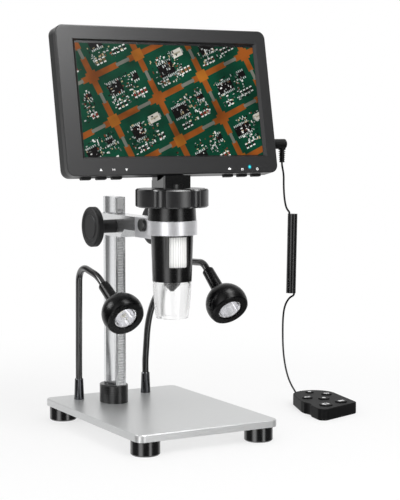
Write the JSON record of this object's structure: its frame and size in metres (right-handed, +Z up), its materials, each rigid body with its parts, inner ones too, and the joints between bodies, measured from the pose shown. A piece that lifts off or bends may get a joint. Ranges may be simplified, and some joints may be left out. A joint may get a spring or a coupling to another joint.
{
  "type": "digital microscope",
  "caption": "Desk digital microscope: tilting LCD monitor on a focusing camera head, rack-and-pinion stand on a plate base, gooseneck lamps and a wired handset.",
  "frame": {"origin": "on the floor, under the centre of the base plate", "axes": "+Z up; the user stands at -Y and sees the screen; +X to the user's right; the column stands towards +Y"},
  "size_m": [0.2852, 0.1708, 0.3109],
  "materials": {
    "stage_steel": "fine brushed stainless plate",
    "column_aluminium": "satin extruded aluminium",
    "cast_silver": "satin machined aluminium",
    "rack_steel": "milled steel",
    "fastener_steel": "plated steel",
    "black_rubber": "soft matt rubber",
    "knob_plastic": "fine-grained black plastic",
    "shell_plastic": "satin black moulding",
    "bezel_plastic": "dark grey satin moulding",
    "white_plastic": "white moulding",
    "clear_plastic": "clear acrylic",
    "lamp_black": "gloss black moulding",
    "reflector_chrome": "vacuum-metallised",
    "dark_chrome": "black chrome",
    "gooseneck_black": "satin black sleeve",
    "screen_glass": "gloss LCD glass",
    "lens_glass": "coated glass",
    "board_green": "solder-masked board",
    "battery_wrap": "foil pouch",
    "cord_black": "matt cord jacket"
  },
  "bodies": {
    "base": {"base_plate": "stage_steel", "rubber_feet": "black_rubber", "base_screws": "fastener_steel", "column": "column_aluminium", "gear_rack": "rack_steel", "column_collar": "knob_plastic", "lamp_ferrules": "dark_chrome", "power_box": "shell_plastic", "handset_base": "shell_plastic", "handset_cover": "shell_plastic", "handset_board": "board_green", "cord_lower": "cord_black"},
    "carriage": {"carriage_block": "cast_silver", "ring_clamp": "cast_silver", "clamp_screw": "knob_plastic", "shaft_bushes": "fastener_steel", "head_shell": "shell_plastic", "core_tube": "knob_plastic", "neck_block": "knob_plastic", "sensor_board": "board_green", "led_ring": "board_green", "light_hood": "clear_plastic", "hinge_pin": "fastener_steel", "cord_plug": "cord_black", "cord_upper": "cord_black", "cord_sleeve": "shell_plastic"},
    "focus_knobs": {"pinion_shaft": "rack_steel", "knob_left": "knob_plastic", "knob_right": "knob_plastic"},
    "fine_focus": {"focus_wheel": "knob_plastic", "focus_barrel": "white_plastic"},
    "lens": {"lens_cell": "shell_plastic", "lens_glass": "lens_glass"},
    "monitor": {"front_bezel": "bezel_plastic", "rear_shell": "bezel_plastic", "screen_panel": "screen_glass", "main_board": "board_green", "key_boards": "board_green", "battery": "battery_wrap", "case_screws": "fastener_steel"},
    "lamp_arm_left": {"gooseneck_left": "gooseneck_black"},
    "lamp_head_left": {"lamp_shell_left": "lamp_black", "lamp_reflector_left": "reflector_chrome", "lamp_lens_left": "clear_plastic"},
    "lamp_arm_right": {"gooseneck_right": "gooseneck_black"},
    "lamp_head_right": {"lamp_shell_right": "lamp_black", "lamp_reflector_right": "reflector_chrome", "lamp_lens_right": "clear_plastic"},
    "screen_key_1": {"monitor_key_1": "shell_plastic"},
    "screen_key_2": {"monitor_key_2": "shell_plastic"},
    "screen_key_3": {"monitor_key_3": "shell_plastic"},
    "screen_key_4": {"monitor_key_4": "shell_plastic"},
    "screen_key_5": {"monitor_key_5": "shell_plastic"},
    "screen_key_6": {"monitor_key_6": "shell_plastic"},
    "handset_zoom_key": {"zoom_key": "black_rubber"},
    "handset_menu_key": {"menu_key": "black_rubber"},
    "handset_record_key": {"record_key": "black_rubber"},
    "handset_ok_key": {"ok_key": "black_rubber"},
    "handset_photo_key": {"photo_key": "black_rubber"},
    "handset_power_key": {"power_key": "black_rubber"}
  },
  "joints": [
    {"name": "carriage_slide", "type": "slide", "parent": "base", "child": "carriage", "axis": [0, 0, 1], "range_m": [-0.038, 0.009], "deforming": ["cord_lower"]},
    {"name": "knob_turn", "type": "hinge", "parent": "carriage", "child": "focus_knobs", "pos_m": [-0.016, 0.027, 0.1599], "axis": [1, 0, 0], "range_deg": [-93, 389.5]},
    {"name": "fine_focus_turn", "type": "hinge", "parent": "carriage", "child": "fine_focus", "pos_m": [-0.016, -0.054, 0.1788], "axis": [0, 0, 1], "range_deg": [-135, 135]},
    {"name": "lens_slide", "type": "slide", "parent": "carriage", "child": "lens", "axis": [0, 0, 1], "range_m": [-0.003, 0.003]},
    {"name": "monitor_tilt", "type": "hinge", "parent": "carriage", "child": "monitor", "pos_m": [-0.016, -0.04795, 0.2245], "axis": [1, 0, 0], "range_deg": [-25, 10]},
    {"name": "lamp_swivel_left", "type": "hinge", "parent": "base", "child": "lamp_arm_left", "pos_m": [-0.0377, 0.065, 0.025], "axis": [0, 0, 1], "range_deg": [-30, 0]},
    {"name": "lamp_tilt_left", "type": "hinge", "parent": "lamp_arm_left", "child": "lamp_head_left", "pos_m": [-0.0505, -0.01081, 0.11664], "axis": [1, 0, 0], "range_deg": [-20, 20]},
    {"name": "lamp_swivel_right", "type": "hinge", "parent": "base", "child": "lamp_arm_right", "pos_m": [0.0231, 0.065, 0.025], "axis": [0, 0, 1], "range_deg": [0, 15]},
    {"name": "lamp_tilt_right", "type": "hinge", "parent": "lamp_arm_right", "child": "lamp_head_right", "pos_m": [0.02, -0.04629, 0.12737], "axis": [1, 0, 0], "range_deg": [-20, 20]},
    {"name": "screen_key_1_press", "type": "slide", "parent": "monitor", "child": "screen_key_1", "axis": [0, 0.1942, 0.981], "range_m": [0, 0.0005], "stiffness_N_per_m": 400, "springref_m": -0.0005},
    {"name": "screen_key_2_press", "type": "slide", "parent": "monitor", "child": "screen_key_2", "axis": [0, 0.1942, 0.981], "range_m": [0, 0.0005], "stiffness_N_per_m": 400, "springref_m": -0.0005},
    {"name": "screen_key_3_press", "type": "slide", "parent": "monitor", "child": "screen_key_3", "axis": [0, 0.1942, 0.981], "range_m": [0, 0.0005], "stiffness_N_per_m": 400, "springref_m": -0.0005},
    {"name": "screen_key_4_press", "type": "slide", "parent": "monitor", "child": "screen_key_4", "axis": [0, 0.1942, 0.981], "range_m": [0, 0.0005], "stiffness_N_per_m": 400, "springref_m": -0.0005},
    {"name": "screen_key_5_press", "type": "slide", "parent": "monitor", "child": "screen_key_5", "axis": [0, 0.1942, 0.981], "range_m": [0, 0.0005], "stiffness_N_per_m": 400, "springref_m": -0.0005},
    {"name": "screen_key_6_press", "type": "slide", "parent": "monitor", "child": "screen_key_6", "axis": [0, 0.1942, 0.981], "range_m": [0, 0.0005], "stiffness_N_per_m": 400, "springref_m": -0.0005},
    {"name": "zoom_key_press", "type": "slide", "parent": "base", "child": "handset_zoom_key", "axis": [0, 0, -1], "range_m": [0, 0.0005], "stiffness_N_per_m": 400, "springref_m": -0.0005},
    {"name": "menu_key_press", "type": "slide", "parent": "base", "child": "handset_menu_key", "axis": [0, 0, -1], "range_m": [0, 0.0005], "stiffness_N_per_m": 400, "springref_m": -0.0005},
    {"name": "record_key_press", "type": "slide", "parent": "base", "child": "handset_record_key", "axis": [0, 0, -1], "range_m": [0, 0.0005], "stiffness_N_per_m": 400, "springref_m": -0.0005},
    {"name": "ok_key_press", "type": "slide", "parent": "base", "child": "handset_ok_key", "axis": [0, 0, -1], "range_m": [0, 0.0005], "stiffness_N_per_m": 400, "springref_m": -0.0005},
    {"name": "photo_key_press", "type": "slide", "parent": "base", "child": "handset_photo_key", "axis": [0, 0, -1], "range_m": [0, 0.0005], "stiffness_N_per_m": 400, "springref_m": -0.0005},
    {"name": "power_key_press", "type": "slide", "parent": "base", "child": "handset_power_key", "axis": [0, 0, -1], "range_m": [0, 0.0005], "stiffness_N_per_m": 400, "springref_m": -0.0005}
  ],
  "couplings": [
    {"joint": "knob_turn", "follows": "carriage_slide", "rad_per_m": -178.57},
    {"joint": "lens_slide", "follows": "fine_focus_turn", "m_per_rad": 0.00095493}
  ]
}
